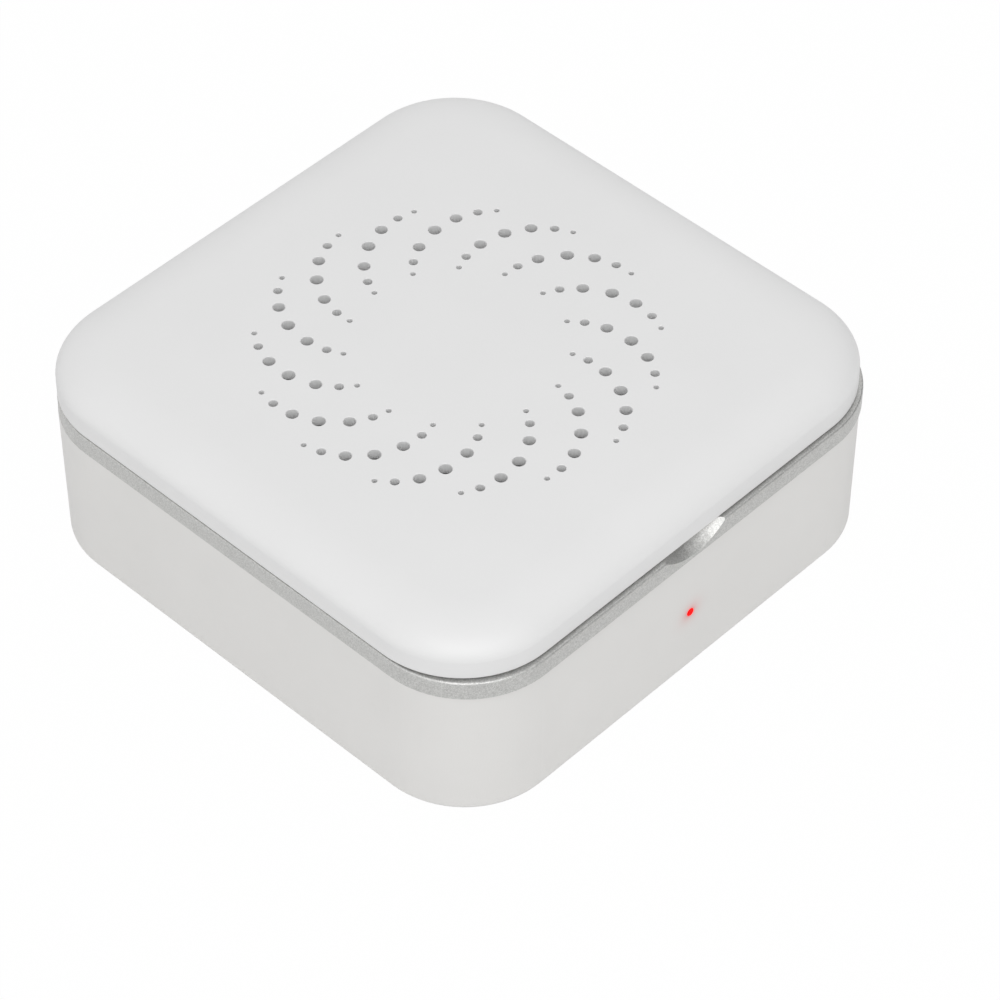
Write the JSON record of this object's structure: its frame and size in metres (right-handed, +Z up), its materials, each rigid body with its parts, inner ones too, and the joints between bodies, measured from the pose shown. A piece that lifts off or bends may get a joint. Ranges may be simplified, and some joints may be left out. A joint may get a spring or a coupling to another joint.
{
  "type": "hearing aid dryer",
  "caption": "Square white drying box for hearing aids: hinged lid with a swirl of vent holes, silver ring, thumb scoop, status light, warm-air fan and lamps inside.",
  "frame": {"origin": "centre of the footprint at the level of the feet's undersides", "axes": "+Z up, -Y towards the front wall with the status light, +X to the right seen from the front"},
  "size_m": [0.11, 0.1108, 0.0412],
  "materials": {
    "white_abs": "satin moulded white ABS",
    "silver_paint": "fine silver paint on ABS",
    "inner_white": "fine matt moulded white ABS",
    "grille_white": "matt moulded white",
    "button_grey": "satin grey",
    "clear_lens": "clear moulded acrylic",
    "uv_pane": "clear polished pane",
    "red_lamp": "red clear epoxy",
    "silicone": "matt grey silicone",
    "foot_rubber": "matt dark rubber",
    "steel": "zinc-plated steel",
    "magnet": "nickel-plated magnet",
    "board_green": "solder-masked glass epoxy",
    "board_white": "white solder mask",
    "black_plastic": "black moulded plastic",
    "lamp_ceramic": "ceramic lamp package",
    "copper": "enamelled copper",
    "brass": "sintered bronze",
    "aluminium": "bare aluminium",
    "heat_proof": "heat-proof moulded nylon",
    "duct_plastic": "dark grey moulded ABS",
    "can": "sleeved aluminium can",
    "header_white": "natural nylon",
    "wire_red": "silicone lead",
    "ribbon_grey": "flat lead"
  },
  "bodies": {
    "case": {"base_shell": "white_abs", "feet": "foot_rubber", "case_screws": "steel", "trim_ring": "silver_paint", "hinge_pins": "steel", "chamber_tub": "inner_white", "chamber_grille": "grille_white", "lid_seal": "silicone", "catch_magnets": "magnet", "uv_windows": "uv_pane", "uv_boards": "board_white", "uv_leds": "lamp_ceramic", "uv_wires": "wire_red", "tact_switch": "black_plastic", "switch_board": "board_green", "switch_ribbon": "ribbon_grey", "lid_sensor": "black_plastic", "fan_frame": "black_plastic", "fan_bearing": "brass", "fan_stator": "steel", "fan_coils": "copper", "fan_screws": "steel", "fan_wires": "wire_red", "air_duct": "duct_plastic", "heater_bars": "aluminium", "heater_fins": "aluminium", "heater_caps": "heat_proof", "heater_wires": "wire_red", "thermal_fuse": "steel", "main_board": "board_green", "board_screws": "steel", "control_chip": "black_plastic", "power_inductor": "black_plastic", "board_capacitors": "can", "buzzer": "black_plastic", "wire_connectors": "header_white", "status_led": "red_lamp", "light_guide": "clear_lens", "inlet_board": "board_green", "usb_socket": "steel", "inlet_wires": "wire_red"},
    "lid": {"lid_cover": "white_abs", "lid_liner": "inner_white", "lid_screws": "steel", "lid_magnets": "magnet", "lid_bumpers": "silicone"},
    "button": {"start_button": "button_grey", "switch_plunger": "black_plastic"},
    "fan": {"fan_rotor": "black_plastic", "fan_magnet": "magnet", "fan_shaft": "steel"}
  },
  "joints": [
    {"name": "lid_hinge", "type": "hinge", "parent": "case", "child": "lid", "pos_m": [0, 0.0528, 0.0271], "axis": [-1, 0, 0], "range_deg": [0, 105]},
    {"name": "button_press", "type": "slide", "parent": "case", "child": "button", "axis": [0, 0, -1], "range_m": [0, 0.0006], "stiffness_N_per_m": 800},
    {"name": "fan_spin", "type": "hinge", "parent": "case", "child": "fan", "pos_m": [0, 0.005, 0.008], "axis": [0, 0, 1], "continuous": true}
  ]
}
